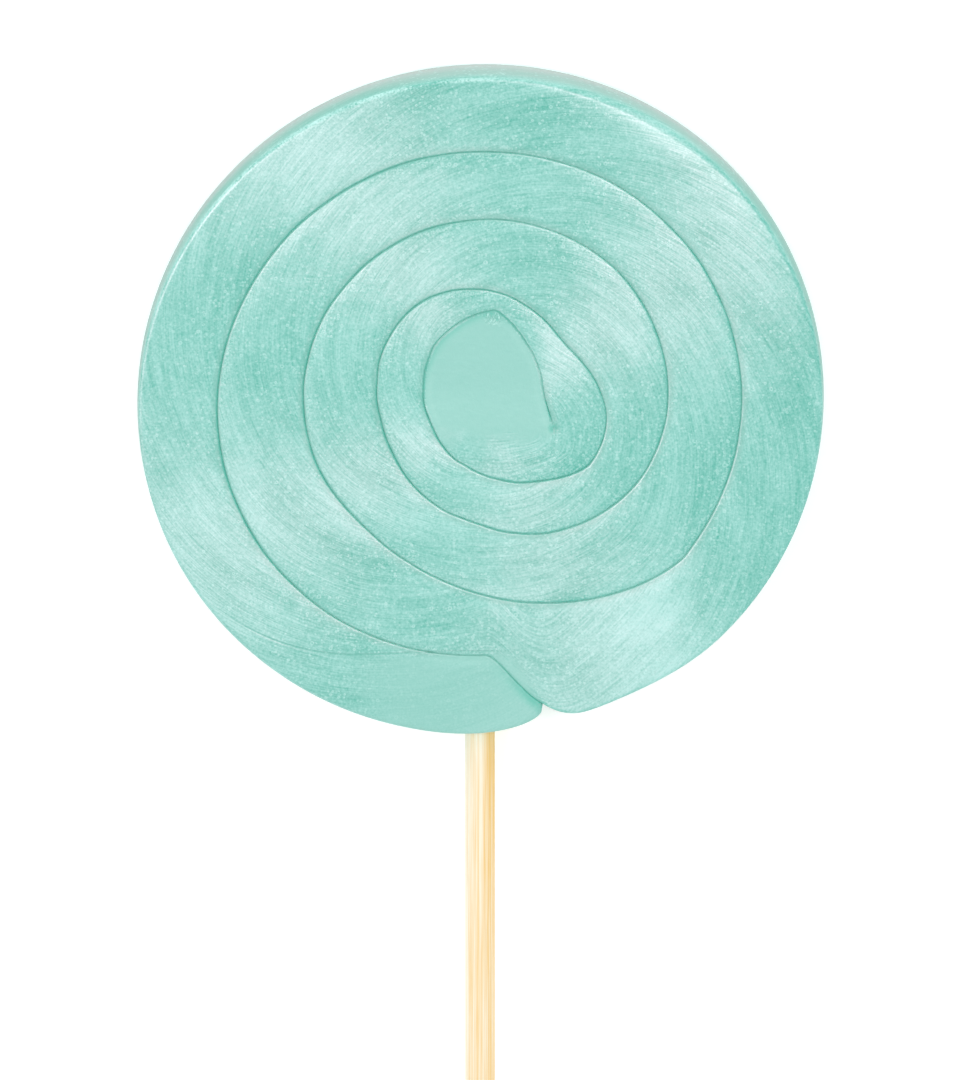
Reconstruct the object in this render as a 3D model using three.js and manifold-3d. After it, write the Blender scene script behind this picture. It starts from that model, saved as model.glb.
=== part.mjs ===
// A spiral lollipop: one rope of pulled hard candy, coiled inward for almost five turns and pressed
// into a thick disc, on a straight wooden stick that is pushed into the disc's edge.
//
// Millimetres, +Z up. The lollipop lies on its flat back with the seamed front face up. The origin
// is on the back face, under the middle of the disc. The stick runs along -Y.
//
// Places on the disc are given by a wound angle and a radius. The wound angle is in degrees, starts
// at the stick, turns clockwise as seen from the front, and keeps growing past 360 as the rope
// winds inward. edge(angle) is the radius of the rope's outer edge there. The rope's inner edge is
// the outer edge of its next turn, edge(angle + 360), so one function shapes every seam.

import * as THREE from 'three';
import { ParametricGeometry } from 'three/addons/geometries/ParametricGeometry.js';
import { mergeGeometries, mergeVertices } from 'three/addons/utils/BufferGeometryUtils.js';
import Module from 'manifold-3d';

// ---- Driving dimensions -------------------------------------------------------------------

const THICKNESS = 11; // between the flat back and the top of the wraps
const SEAM_DEPTH = 0.7; // the V-shaped seam between two wraps
const CORNER_DEPTH = 0.5; // the broken corner between a face and the rim
const V_HALF_WIDTH = 0.8;
const PILLOW = 0.35; // how far a wrap's front sinks from its middle to its seams
const PILLOW_REACH = 6;
const RIM_BULGE = 0.3; // how far the rim swells between its two corners

// Each turn is a slightly oval circle whose centre has slipped sideways: its radius, the slip and
// the wound angle that it slipped towards, and the oval's swelling and the angle that swells.
const TURNS = [
  { radius: 57.1, slip: 0.3, slipTo: 339, oval: 0.41, ovalTo: 59 },
  { radius: 43.8, slip: 0.35, slipTo: 168, oval: 0.5, ovalTo: 51 },
  { radius: 30.3, slip: 2.3, slipTo: 203, oval: 0.35, ovalTo: 56 },
  { radius: 18.8, slip: 0.35, slipTo: 261, oval: 1.8, ovalTo: 160 },
  { radius: 11.4, slip: 1.9, slipTo: 199, oval: 1.55, ovalTo: 171 },
];

// Where the edge steps in from each turn to the next, as wound angles. A skew under 1 steps in
// early. The first step is the blunt end of the rope's tail, and the others cross below the middle.
const STEPS = [
  { from: 340, to: 359, skew: 1.4 },
  { from: 667, to: 773, skew: 0.65 },
  { from: 995, to: 1091, skew: 1.4 },
  { from: 1379, to: 1458, skew: 0.65 },
];

// The rope's outer end: its tail starts at a notch in the outline and rounds off beside it.
const NOTCH_ANGLE = 348.5;
const TAIL_START = NOTCH_ANGLE - 360;
const TAIL_ROUND = 20; // the sweep, in degrees, over which the tail's tip rounds off
const TAIL_BLUNT = 2.5; // the power of that rounding: 2 would be a quarter of an ellipse
const NOTCH_BLEND = 8; // the sweep from the notch to where the rim's corner has its own depth
const SHOULDER = { from: 315, to: 337, drop: 0.95 }; // the outer wrap flattens before the notch

// The rope's inner end: the mouth where it turns into the core, and the core's pointed leaf shape,
// which is hollowed a little along its left side.
const MOUTH_SWELL = { at: 1354, reach: 50, height: 3.3 };
const LEAF_SIDE = { at: 1567, reach: 45, hollow: 0.75 };
const LEAF_TIP = { at: 1629, reach: 31, height: 2.3, sharpness: 1.5 };
const PIT_RISE = { from: 1690, to: 1727, height: 2.5, sharpness: 2 };

// The surface grid: stations per turn, crowded together near the notch, and rows across the rope.
const STATIONS_PER_TURN = 84;
const CROWDING = 0.65;
const MOUTH_TURNS = 313 / STATIONS_PER_TURN;
const END_TURNS = MOUTH_TURNS + 1;
const FRONT_ROWS = [0, 0.07, 0.25, 0.5, 0.75, 0.93, 1];
const BACK_ROWS = [0, 0.07, 0.93, 1];
const CORE_ROWS = [1, 0.66, 0.33, 0];
const RIM_ROWS = [0, 0.25, 0.5, 0.75, 1];

const STICK_RADIUS = 2.5;
const STICK_OUTSIDE = 130; // the length that shows below the disc
const STICK_INSIDE = 38;
const STICK_CHAMFER = 0.4;
const STICK_SIDES = 24;
const SOCKET_GAP = 0.3;

const CANDY_FINISH = { color: 0x8fdccb, roughness: 0.3, metalness: 0 };
const WOOD_FINISH = { color: 0xf6e2b8, roughness: 0.65, metalness: 0 };

// ---- The rope's edge ----------------------------------------------------------------------

const { clamp, degToRad, radToDeg, lerp } = THREE.MathUtils;

const share = (value, from, to) => clamp((value - from) / (to - from), 0, 1);

const ease = (value, from, to, skew = 1) => {
  const t = share(value, from, to) ** skew;
  return t * t * (3 - 2 * t);
};

const wave = (angle, towards, count = 1) => Math.cos(count * degToRad(angle - towards));

const turnRadius = (turn, angle) =>
  turn.radius + turn.slip * wave(angle, turn.slipTo) + turn.oval * wave(angle, turn.ovalTo, 2);

// The radius of the rope's outer edge at a wound angle.
function edge(angle) {
  let radius = turnRadius(TURNS[0], angle);
  const round = share(angle, TAIL_START + TAIL_ROUND, TAIL_START);
  const cut = 1 - (1 - round ** TAIL_BLUNT) ** (1 / TAIL_BLUNT);
  if (round > 0) return lerp(radius, edge(NOTCH_ANGLE), cut);
  radius -= SHOULDER.drop * ease(angle, SHOULDER.from, SHOULDER.to);
  STEPS.forEach((step, i) => {
    const inner = turnRadius(TURNS[i + 1], angle);
    radius = lerp(radius, inner, ease(angle, step.from, step.to, step.skew));
  });
  const fromMouth = Math.abs(angle - MOUTH_SWELL.at);
  radius += MOUTH_SWELL.height * ease(fromMouth, MOUTH_SWELL.reach, 0);
  const fromSide = Math.abs(angle - LEAF_SIDE.at);
  radius -= LEAF_SIDE.hollow * ease(fromSide, LEAF_SIDE.reach, 0);
  const fromTip = Math.abs(angle - LEAF_TIP.at);
  radius += LEAF_TIP.height * share(fromTip, LEAF_TIP.reach, 0) ** LEAF_TIP.sharpness;
  radius += PIT_RISE.height * share(angle, PIT_RISE.from, PIT_RISE.to) ** PIT_RISE.sharpness;
  return radius;
}

// The wound angle after a number of turns from the notch, with the stations crowded near it.
const woundAngle = (turns) =>
  TAIL_START + 360 * turns - radToDeg(CROWDING * Math.sin(2 * Math.PI * turns));

const MOUTH_ANGLE = woundAngle(MOUTH_TURNS);
const MOUTH_WIDTH = edge(MOUTH_ANGLE) - edge(MOUTH_ANGLE + 360);

const place = (angle, radius, z, target) =>
  target.set(-radius * Math.sin(degToRad(angle)), -radius * Math.cos(degToRad(angle)), z);

const pit = place(MOUTH_ANGLE, edge(MOUTH_ANGLE + 360), 0, new THREE.Vector3());

// How far in from the rope's two edges a point on a face lies. Past the mouth the rope has no inner
// edge, only the pit where that seam ends.
function depthsInto(angle, radius) {
  const fromOuter = edge(angle) - radius;
  if (angle < MOUTH_ANGLE) return [fromOuter, radius - edge(angle + 360)];
  return [fromOuter, place(angle, radius, 0, new THREE.Vector3()).distanceTo(pit)];
}

// How deep the V at the rope's outer edge is: the rim's corner, or a seam from the notch on.
function outerDepth(angle) {
  const fromNotch = Math.min(angle - TAIL_START, NOTCH_ANGLE - angle);
  return lerp(SEAM_DEPTH, CORNER_DEPTH, ease(fromNotch, 0, NOTCH_BLEND));
}

// The back is flat between its seams, and the front's wraps are pillowed as well.
function backZ(angle, radius) {
  const [fromOuter, fromInner] = depthsInto(angle, radius);
  const corner = outerDepth(angle) * share(fromOuter, V_HALF_WIDTH, 0);
  return Math.max(corner, SEAM_DEPTH * share(fromInner, V_HALF_WIDTH, 0));
}

function frontZ(angle, radius) {
  const fromSeam = Math.min(...depthsInto(angle, radius));
  return THICKNESS - backZ(angle, radius) - PILLOW * share(fromSeam, PILLOW_REACH, 0) ** 2;
}

// ---- Surfaces -----------------------------------------------------------------------------

// A surface of stations by rows, where at(turns, row, target) gives each point.
function surface(fromTurns, toTurns, rows, at) {
  const stations = Math.round((toTurns - fromTurns) * STATIONS_PER_TURN);
  const last = rows.length - 1;
  const point = (u, v, target) => at(lerp(fromTurns, toTurns, u), rows[Math.round(v * last)], target);
  return new ParametricGeometry(point, stations, last);
}

// The inner border of the rope's face. Past the mouth it closes in on the outer edge and meets it
// at the pit, so that the face ends there as a tapering band.
function innerBorder(turns) {
  const angle = woundAngle(turns);
  if (turns <= MOUTH_TURNS) return edge(angle + 360);
  return edge(angle) - MOUTH_WIDTH * (END_TURNS - turns);
}

function ropeFace(rows, height) {
  return surface(0, END_TURNS, rows, (turns, row, target) => {
    const angle = woundAngle(turns);
    const radius = lerp(edge(angle), innerBorder(turns), row);
    place(angle, radius, height(angle, radius), target);
  });
}

// The face inside that band, closing over the middle of the disc.
function coreFace(height) {
  return surface(MOUTH_TURNS, END_TURNS, CORE_ROWS, (turns, row, target) => {
    const angle = woundAngle(turns);
    const radius = row * innerBorder(turns);
    place(angle, radius, height(angle, radius), target);
  });
}

// The rim, from the broken front corner down to the broken back corner.
function rimFace() {
  return surface(0, 1, RIM_ROWS, (turns, row, target) => {
    const angle = woundAngle(turns);
    const radius = edge(angle);
    const swell = RIM_BULGE * Math.sin(Math.PI * row) * Math.sin(Math.PI * turns) ** 0.5;
    place(angle, radius + swell, lerp(frontZ(angle, radius), backZ(angle, radius), row), target);
  });
}

// ---- Joining and cutting ------------------------------------------------------------------

const wasm = await Module();
wasm.setup();

// A closed geometry as a manifold solid, with shared vertices merged and empty triangles dropped.
function solidOf(geometry) {
  const bare = geometry.clone();
  bare.deleteAttribute('normal');
  bare.deleteAttribute('uv');
  const merged = mergeVertices(bare, 1e-3);
  const corners = [...merged.index.array];
  const triangles = [];
  for (let i = 0; i < corners.length; i += 3) {
    const [a, b, c] = corners.slice(i, i + 3);
    if (a !== b && b !== c && c !== a) triangles.push(a, b, c);
  }
  const vertProperties = Float32Array.from(merged.attributes.position.array);
  return new wasm.Manifold(
    new wasm.Mesh({ numProp: 3, vertProperties, triVerts: Uint32Array.from(triangles) }),
  );
}

// A manifold solid as a named mesh.
function meshOf(name, solid, finish) {
  const { vertProperties, triVerts } = solid.getMesh();
  const geometry = new THREE.BufferGeometry();
  geometry.setAttribute('position', new THREE.BufferAttribute(vertProperties, 3));
  geometry.setIndex(new THREE.BufferAttribute(triVerts, 1));
  geometry.computeVertexNormals();
  const mesh = new THREE.Mesh(geometry, new THREE.MeshStandardMaterial(finish));
  mesh.name = name;
  return mesh;
}

// Turns a surface over, so that its faces point the other way.
function turnedOver(geometry) {
  const { array } = geometry.index;
  for (let i = 0; i < array.length; i += 3) [array[i], array[i + 1]] = [array[i + 1], array[i]];
  return geometry;
}

// ---- The two pieces -----------------------------------------------------------------------

const STICK_TOP = STICK_INSIDE - edge(0);
const STICK_FOOT = -edge(0) - STICK_OUTSIDE;

// A round rod along Y, from one end to the other, with its two ends chamfered.
function rod(radius, from, to, chamfer) {
  const outline = [
    new THREE.Vector2(0, from),
    new THREE.Vector2(radius - chamfer, from),
    new THREE.Vector2(radius, from + chamfer),
    new THREE.Vector2(radius, to - chamfer),
    new THREE.Vector2(radius - chamfer, to),
    new THREE.Vector2(0, to),
  ];
  return new THREE.LatheGeometry(outline, STICK_SIDES).translate(0, 0, THICKNESS / 2);
}

function candyCoil() {
  const skin = mergeGeometries([
    turnedOver(ropeFace(FRONT_ROWS, frontZ)),
    turnedOver(coreFace(frontZ)),
    rimFace(),
    ropeFace(BACK_ROWS, backZ),
    coreFace(backZ),
  ]);
  const socketTop = STICK_TOP + SOCKET_GAP;
  const socket = rod(STICK_RADIUS + SOCKET_GAP, STICK_FOOT, socketTop, STICK_CHAMFER);
  return meshOf('candy_coil', solidOf(skin).subtract(solidOf(socket)), CANDY_FINISH);
}

function woodenStick() {
  const blank = rod(STICK_RADIUS, STICK_FOOT, STICK_TOP, STICK_CHAMFER);
  return meshOf('wooden_stick', solidOf(blank), WOOD_FINISH);
}

const lollipop = new THREE.Group();
lollipop.add(candyCoil(), woodenStick());

export default lollipop;
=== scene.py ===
# %% [markdown]
# # A spiral lollipop
#
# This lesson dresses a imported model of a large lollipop: one rope of pulled mint-green sugar, coiled
# inward for almost five turns and pressed into a thick disc, on a plain wooden stick. It lies flat
# on a pale table with its seamed face up.
#
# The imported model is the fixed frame. It says where the two pieces are and how large they are, in
# metres, so nothing here is fitted by eye. The stick runs along -Y and the seamed face looks up +Z.

import math

import bmesh
import bpy
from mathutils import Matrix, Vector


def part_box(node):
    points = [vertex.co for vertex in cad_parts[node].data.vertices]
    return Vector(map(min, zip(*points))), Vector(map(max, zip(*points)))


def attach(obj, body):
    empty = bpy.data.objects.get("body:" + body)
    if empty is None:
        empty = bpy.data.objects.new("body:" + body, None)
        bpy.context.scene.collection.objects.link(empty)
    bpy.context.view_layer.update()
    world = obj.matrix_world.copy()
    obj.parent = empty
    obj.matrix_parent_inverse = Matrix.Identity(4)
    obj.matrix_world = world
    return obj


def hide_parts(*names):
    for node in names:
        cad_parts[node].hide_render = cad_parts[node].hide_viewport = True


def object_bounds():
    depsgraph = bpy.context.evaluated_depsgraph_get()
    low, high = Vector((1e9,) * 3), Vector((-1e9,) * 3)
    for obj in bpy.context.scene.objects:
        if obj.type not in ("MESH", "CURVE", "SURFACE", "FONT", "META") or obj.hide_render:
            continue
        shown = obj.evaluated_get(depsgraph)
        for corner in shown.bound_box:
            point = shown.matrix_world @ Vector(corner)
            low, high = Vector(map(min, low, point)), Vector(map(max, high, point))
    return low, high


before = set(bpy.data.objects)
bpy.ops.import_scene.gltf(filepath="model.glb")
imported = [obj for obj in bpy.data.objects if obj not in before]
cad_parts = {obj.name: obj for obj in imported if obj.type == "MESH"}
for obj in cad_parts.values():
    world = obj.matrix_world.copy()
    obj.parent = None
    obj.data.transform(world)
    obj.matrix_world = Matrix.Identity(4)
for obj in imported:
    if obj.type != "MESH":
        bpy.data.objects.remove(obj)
cad_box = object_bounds()
candy_low, candy_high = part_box("candy_coil")
stick_low, stick_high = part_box("wooden_stick")
MM = 0.001
THICKNESS = (candy_high[2] - candy_low[2]) / MM
STICK_RADIUS = (stick_high[0] - stick_low[0]) / 2 / MM
print(f"disc {THICKNESS:.1f} mm thick, stick {2 * STICK_RADIUS:.1f} mm across")

# %% [markdown]
# ## Maths as sentences
#
# Blender's node trees do maths with one small node for each step, and a long rule becomes a carpet
# of boxes. The alternative is to let Python write the boxes. `Wire` stands for one output socket,
# and the ordinary operators on it add Math nodes, so that a rule reads as a sentence. `Bench` adds
# every other node, with its settings first and its sockets after them. Both work the same in a
# Geometry Nodes tree and in a material.


# %% Wires and the bench
class Wire:
    """One output socket, on which Python's operators add Math nodes."""

    def __init__(self, bench, socket):
        self.bench, self.socket = bench, socket

    def maths(self, operation, *others):
        inputs = dict(enumerate((self, *others)))
        return self.bench.add("ShaderNodeMath", {"operation": operation}, inputs)[0]

    def __add__(self, other):
        return self.maths("ADD", other)

    def __sub__(self, other):
        return self.maths("SUBTRACT", other)

    def __rsub__(self, other):
        return self.maths("MULTIPLY_ADD", -1.0, other)

    def __mul__(self, other):
        return self.maths("MULTIPLY", other)

    def __truediv__(self, other):
        return self.maths("DIVIDE", other)

    def __rtruediv__(self, other):
        return self.maths("POWER", -1.0) * other

    def __pow__(self, other):
        return self.maths("POWER", other)

    def __abs__(self):
        return self.maths("ABSOLUTE")

    __radd__ = __add__
    __rmul__ = __mul__


class Added:
    """A node that was added, whose outputs are taken by number or by name."""

    def __init__(self, bench, node):
        self.bench, self.node = bench, node

    def __getitem__(self, key):
        return Wire(self.bench, pick(self.node.outputs, key))


def pick(sockets, key):
    """The socket in use that has this number or name."""
    in_use = [s for s in sockets if s.enabled]
    return in_use[key] if isinstance(key, int) else next(s for s in in_use if s.name == key)


class Bench:
    """A node tree that is being built."""

    def __init__(self, tree):
        self.tree = tree

    def add(self, kind, settings=None, inputs=None):
        node = self.tree.nodes.new(kind)
        for name, value in (settings or {}).items():
            setattr(node, name, value)
        for key, value in (inputs or {}).items():
            socket = pick(node.inputs, key)
            for one in value if isinstance(value, list) else [value]:
                if isinstance(one, Wire):
                    self.tree.links.new(one.socket, socket)
                else:
                    socket.default_value = one
        return Added(self, node)

    def vector(self, x, y, z=0.0):
        return self.add("ShaderNodeCombineXYZ", {}, {"X": x, "Y": y, "Z": z})[0]

    def noise(self, place, scale=1.0, detail=2.0, roughness=0.5):
        """Soft noise round 0, from about -0.5 to 0.5."""
        inputs = {"Vector": place, "Scale": scale, "Detail": detail, "Roughness": roughness}
        return self.add("ShaderNodeTexNoise", {}, inputs)[0] - 0.5


# %% [markdown]
# ## Words for a rule
#
# A rule for a shape is made of a few words: how far along, easing, waves and blends. Each word here
# takes either a plain number or a wire, so the same rule can be worked out in Python for one point
# and by nodes for all of them.


# %% Shares, eases and waves
def share(value, start, end):
    """How far the value has gone from start to end, from 0 to 1."""
    if isinstance(value, Wire):
        inputs = {"Value": value, "From Min": start, "From Max": end}
        return value.bench.add("ShaderNodeMapRange", {"clamp": True}, inputs)[0]
    return min(max((value - start) / (end - start), 0.0), 1.0)


def ease(value, start, end, skew=1.0):
    t = share(value, start, end) ** skew
    return t * t * (3 - 2 * t)


def blend(a, b, amount):
    return a + (b - a) * amount


def sine(degrees):
    turned = degrees * (math.pi / 180)
    return turned.maths("SINE") if isinstance(turned, Wire) else math.sin(turned)


def wave(angle, towards, count=1):
    return sine((angle - towards) * count + 90)


def greater(a, b):
    return a.maths("MAXIMUM", b)


# %% [markdown]
# ## The rope's edge
#
# The confectioner pulls boiled sugar until it turns satiny, rolls it into a rope, and coils the
# rope flat while it is warm. Every seam on the face is the same line: the outer edge of the rope,
# which winds inward from a notch beside the stick to a small pit near the middle.
#
# One could draw that line by hand, point by point. A rule is shorter, and it can be changed: each
# turn is a slightly oval circle, the edge steps in from one turn to the next below the middle, and
# near the middle it swells round a pointed leaf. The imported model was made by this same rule.
#
# A place on the disc is a wound angle and a radius. The angle is in degrees, starts at the stick,
# runs clockwise, and keeps growing past 360 as the rope winds inward. Radii are in millimetres.

# %% The turns of the coil
TURNS = [
    {"radius": 57.1, "slip": 0.3, "slip_to": 339, "oval": 0.41, "oval_to": 59},
    {"radius": 43.8, "slip": 0.35, "slip_to": 168, "oval": 0.5, "oval_to": 51},
    {"radius": 30.3, "slip": 2.3, "slip_to": 203, "oval": 0.35, "oval_to": 56},
    {"radius": 18.8, "slip": 0.35, "slip_to": 261, "oval": 1.8, "oval_to": 160},
    {"radius": 11.4, "slip": 1.9, "slip_to": 199, "oval": 1.55, "oval_to": 171},
]
STEPS = [
    {"start": 340, "end": 359, "skew": 1.4},
    {"start": 667, "end": 773, "skew": 0.65},
    {"start": 995, "end": 1091, "skew": 1.4},
    {"start": 1379, "end": 1458, "skew": 0.65},
]
SHOULDER = {"start": 315, "end": 337, "drop": 0.95}  # the outer wrap flattens before the notch
MOUTH_SWELL = {"at": 1354, "reach": 50, "height": 3.3}  # the wrap that bulges round the mouth
LEAF_SIDE = {"at": 1567, "reach": 45, "hollow": 0.75}
LEAF_TIP = {"at": 1629, "reach": 31, "height": 2.3, "sharpness": 1.5}
PIT_RISE = {"start": 1690, "end": 1727, "height": 2.5, "sharpness": 2}


def turn_radius(turn, angle):
    slip = turn["slip"] * wave(angle, turn["slip_to"])
    return slip + turn["oval"] * wave(angle, turn["oval_to"], 2) + turn["radius"]


def gap(angle, feature):
    """How many degrees an angle is away from a feature's middle."""
    return abs(angle - feature["at"])


def rope_edge(angle):
    """The radius of the rope's outer edge, before its tail is rounded off."""
    flattened = ease(angle, SHOULDER["start"], SHOULDER["end"]) * SHOULDER["drop"]
    radius = turn_radius(TURNS[0], angle) - flattened
    for step, turn in zip(STEPS, TURNS[1:]):
        stepped_in = ease(angle, step["start"], step["end"], step["skew"])
        radius = blend(radius, turn_radius(turn, angle), stepped_in)
    mouth_swell = MOUTH_SWELL["height"] * ease(gap(angle, MOUTH_SWELL), MOUTH_SWELL["reach"], 0)
    leaf_side = LEAF_SIDE["hollow"] * ease(gap(angle, LEAF_SIDE), LEAF_SIDE["reach"], 0)
    near_tip = share(gap(angle, LEAF_TIP), LEAF_TIP["reach"], 0)
    leaf_tip = LEAF_TIP["height"] * near_tip ** LEAF_TIP["sharpness"]
    near_pit = share(angle, PIT_RISE["start"], PIT_RISE["end"])
    pit_rise = PIT_RISE["height"] * near_pit ** PIT_RISE["sharpness"]
    return radius + mouth_swell - leaf_side + leaf_tip + pit_rise


NOTCH_ANGLE = 348.5
NOTCH_RADIUS = rope_edge(NOTCH_ANGLE)
print(f"the seam starts at the notch, {NOTCH_RADIUS:.1f} mm from the middle")

# %% [markdown]
# ## The edge as a node group
#
# The rope's surface asks for this radius in many places, so the rule goes into a node group of its
# own. Two things are added there. The tail's tip is rounded off beside the notch, a little more
# bluntly than a quarter of an ellipse. And the seam of a hand-coiled rope wanders by about a fifth
# of a millimetre: noise along the wound angle does that, from just past the notch on and fading
# before the pit, so that the outline stays closed.

# %% The tail and the wander
TAIL_START = NOTCH_ANGLE - 360
TAIL_ROUND = 20  # degrees
TAIL_BLUNT = 2.5  # 2 would be a quarter of an ellipse
SEAM_WANDER = 0.22
WANDER = {"start": 362, "full": 400, "repeats": 0.045, "seed": 3.1}


# %% Build the edge group
def edge_group():
    tree = bpy.data.node_groups.new("rope edge", "GeometryNodeTree")
    tree.interface.new_socket("Angle", in_out="INPUT", socket_type="NodeSocketFloat")
    tree.interface.new_socket("Radius", in_out="OUTPUT", socket_type="NodeSocketFloat")
    bench = Bench(tree)
    angle = bench.add("NodeGroupInput")["Angle"]
    tail = share(angle, TAIL_START + TAIL_ROUND, TAIL_START)
    cut = 1 - (1 - tail**TAIL_BLUNT) ** (1 / TAIL_BLUNT)
    radius = blend(rope_edge(angle), NOTCH_RADIUS, cut)
    wander = bench.noise(bench.vector(angle * WANDER["repeats"], WANDER["seed"]), detail=1.0)
    wander = wander * share(angle, WANDER["start"], WANDER["full"])
    wander = wander * share(angle, PIT_RISE["end"], PIT_RISE["start"])
    radius = radius + wander * 2 * SEAM_WANDER
    bench.add("NodeGroupOutput", {}, {"Radius": radius})
    print(f"the edge rule takes {len(tree.nodes)} nodes")
    return tree


ROPE_EDGE = edge_group()


def edge(angle):
    """The radius of the rope's outer edge, in millimetres, by the node group."""
    return angle.bench.add("GeometryNodeGroup", {"node_tree": ROPE_EDGE}, {"Angle": angle})[0]


# %% [markdown]
# ## Stations along the rope
#
# The surface is a grid of stations along the rope and rows across it. The stations crowd together
# near the notch, where the outline turns a sharp corner, and they fall on the same spokes in every
# turn, so neighbouring wraps share their seam's points. Past the mouth, where the rope turns into
# the leaf-shaped core, its face closes in to a point at the pit, and the core fills what is left.

# %% Turns, places and borders
CROWDING = math.degrees(0.5)  # how far the stations are drawn towards the notch
MOUTH_TURNS = 3.75
END_TURNS = MOUTH_TURNS + 1


def wound_angle(turns):
    """The wound angle after a number of turns from the notch."""
    return TAIL_START + 360 * turns - CROWDING * sine(turns * 360)


def place(bench, angle, radius):
    """The flat place at a wound angle and a radius in millimetres."""
    out = radius * -MM
    return bench.vector(out * sine(angle), out * sine(angle + 90))


MOUTH_ANGLE = wound_angle(MOUTH_TURNS)
MOUTH_WIDTH = rope_edge(MOUTH_ANGLE) - rope_edge(MOUTH_ANGLE + 360)
A_TRIFLE = 1e-4  # keeps the mouth's own station on the near side of the border


def inner_border(turns, angle):
    """The inner border of the rope's face: the next turn's edge, or past the mouth a taper."""
    before_mouth = turns.maths("LESS_THAN", MOUTH_TURNS + A_TRIFLE)
    taper = edge(angle) - (END_TURNS - turns) * mouth_width(turns.bench)
    return blend(taper, edge(angle + 360), before_mouth)


def mouth_width(bench):
    """How wide the rope is at its mouth, with the seam's wander counted in."""
    angle = bench.add("ShaderNodeValue")
    angle.node.outputs[0].default_value = MOUTH_ANGLE
    return edge(angle[0]) - edge(angle[0] + 360)


def place_xy(angle, radius):
    """The same place, worked out in Python as x and y in millimetres."""
    return -radius * sine(angle), -radius * sine(angle + 90)


NOTCH_PLACE = place_xy(NOTCH_ANGLE, NOTCH_RADIUS)
PIT_PLACE = place_xy(MOUTH_ANGLE + 360, rope_edge(MOUTH_ANGLE + 360))
TIP_PLACE = place_xy(LEAF_TIP["at"], rope_edge(LEAF_TIP["at"]))
print(f"the rope is {MOUTH_WIDTH:.1f} mm wide at its mouth, at {MOUTH_ANGLE - 1080:.0f} degrees")

# %% [markdown]
# ## Heights
#
# A wrap of the real coil is a soft pillow. It sinks a little towards its two seams, then rolls
# over a rounded shoulder into a narrow groove. At the rim it rolls over further. All of that
# depends on one thing: how far a point is from the nearest seam line or from the rim. Geometry
# Proximity measures exactly that distance, to a thin line of edges laid along the seam, and it
# holds round the notch and the leaf's tip too, where distances along a spoke would be wrong.


# %% Shoulders and distances
def shoulder(distance, depth, width):
    """How far a rounded shoulder has dropped at a distance from its seam."""
    up = share(distance, width, 0) * 0.985  # just short of upright, which keeps the foot's faces open
    return (1 - (1 - up * up) ** 0.5) * depth


def nearness(bench, lines):
    """The distance in millimetres from the present place to a thin line of edges."""
    settings = {"target_element": "EDGES"}
    return bench.add("GeometryNodeProximity", settings, {"Geometry": lines})["Distance"] / MM


def flat_xy(bench):
    """The present place as x and y in millimetres."""
    here = bench.add("ShaderNodeSeparateXYZ", {}, {0: bench.add("GeometryNodeInputPosition")[0]})
    return here["X"] / MM, here["Y"] / MM


def apart(x, y, other_x, other_y):
    """How far a place is from another one."""
    return ((x - other_x) * (x - other_x) + (y - other_y) * (y - other_y)) ** 0.5


def towards(x, y, direction):
    """How far a place lies from the middle in one direction."""
    return x * direction[0] + y * direction[1]


# %% [markdown]
# The rope's tail carries one mark of its own. The confectioner folded and pinched it smooth before
# laying it against the coil, which left a crease: nearly a straight chord, which dips a little and
# then bends out to the rim at the left. Below it the tail is a flat lens without any streaks. The
# notch's slanting seam bounds it on the right.

# %% The crease and the pinched lens
CREASE_LEVEL = -42.6
CREASE_BEND = {"start": -20, "end": -43.5, "rise": 7, "sharpness": 2.5}
CREASE_DIP = {"at": -21, "reach": 16, "depth": 0.6}
LENS_EDGE = 1.2  # how softly the lens begins below the crease
LENS_LEFT = (-24, -12)
LENS_RIGHT = (6.5, 4.5)
LENS_SLANT = {"level": -43, "lean": 0.55}


def crease_y(x):
    """The height on the face at which the crease passes, for each x."""
    bend = share(x, CREASE_BEND["start"], CREASE_BEND["end"]) ** CREASE_BEND["sharpness"]
    dip = share(abs(x - CREASE_DIP["at"]), CREASE_DIP["reach"], 0)
    return bend * CREASE_BEND["rise"] - dip * CREASE_DIP["depth"] + CREASE_LEVEL


def tail_lens(x, y):
    """Where the rope's tail was pinched smooth, from 0 to 1."""
    below = ease(y - crease_y(x), 0, -LENS_EDGE)
    beside_notch = x + (y - LENS_SLANT["level"]) * LENS_SLANT["lean"]
    return below * ease(x, *LENS_LEFT) * ease(beside_notch, *LENS_RIGHT)


# %% [markdown]
# Everything is now at hand for the two heights. On the front the wraps are pillowed, the rim slopes
# off further where hands and wrappers have worn it, at the upper right, and the leaf at the middle
# is sunk as deep as the groove round it, except at the pit. A little noise is left from the hands
# that pressed the face flat. The back was pressed against a marble slab, so its grooves are
# shallower and narrower, and it has no pillows.

# %% The front's and the back's heights
WORN_SIDE = {"direction": (0.67, 0.74), "start": 44, "full": 56}
ROUND_SIDE = {"direction": (0.47, 0.88), "start": 54, "full": 56.5}
LEAST_WORN, LEAST_ROUND = 0.3, 0.5
PIT_REACH = (0.2, 2.5)
LEAF_REACH = (-6, 4)  # the leaf is sunk above this stretch of y, and fades out along it
LENS_DEPTH = 0.12
FACE_ALLOWANCE = 0.06  # keeps the highest bump of the relief under the wraps' own top
RELIEF_SPREAD = 14
PRESSED_DEPTH, PRESSED_WIDTH = 0.7, 0.8


def on_side(x, y, side):
    """How far a place lies on one side of the face, from 0 to 1."""
    return share(towards(x, y, side["direction"]), side["start"], side["full"])


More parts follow.
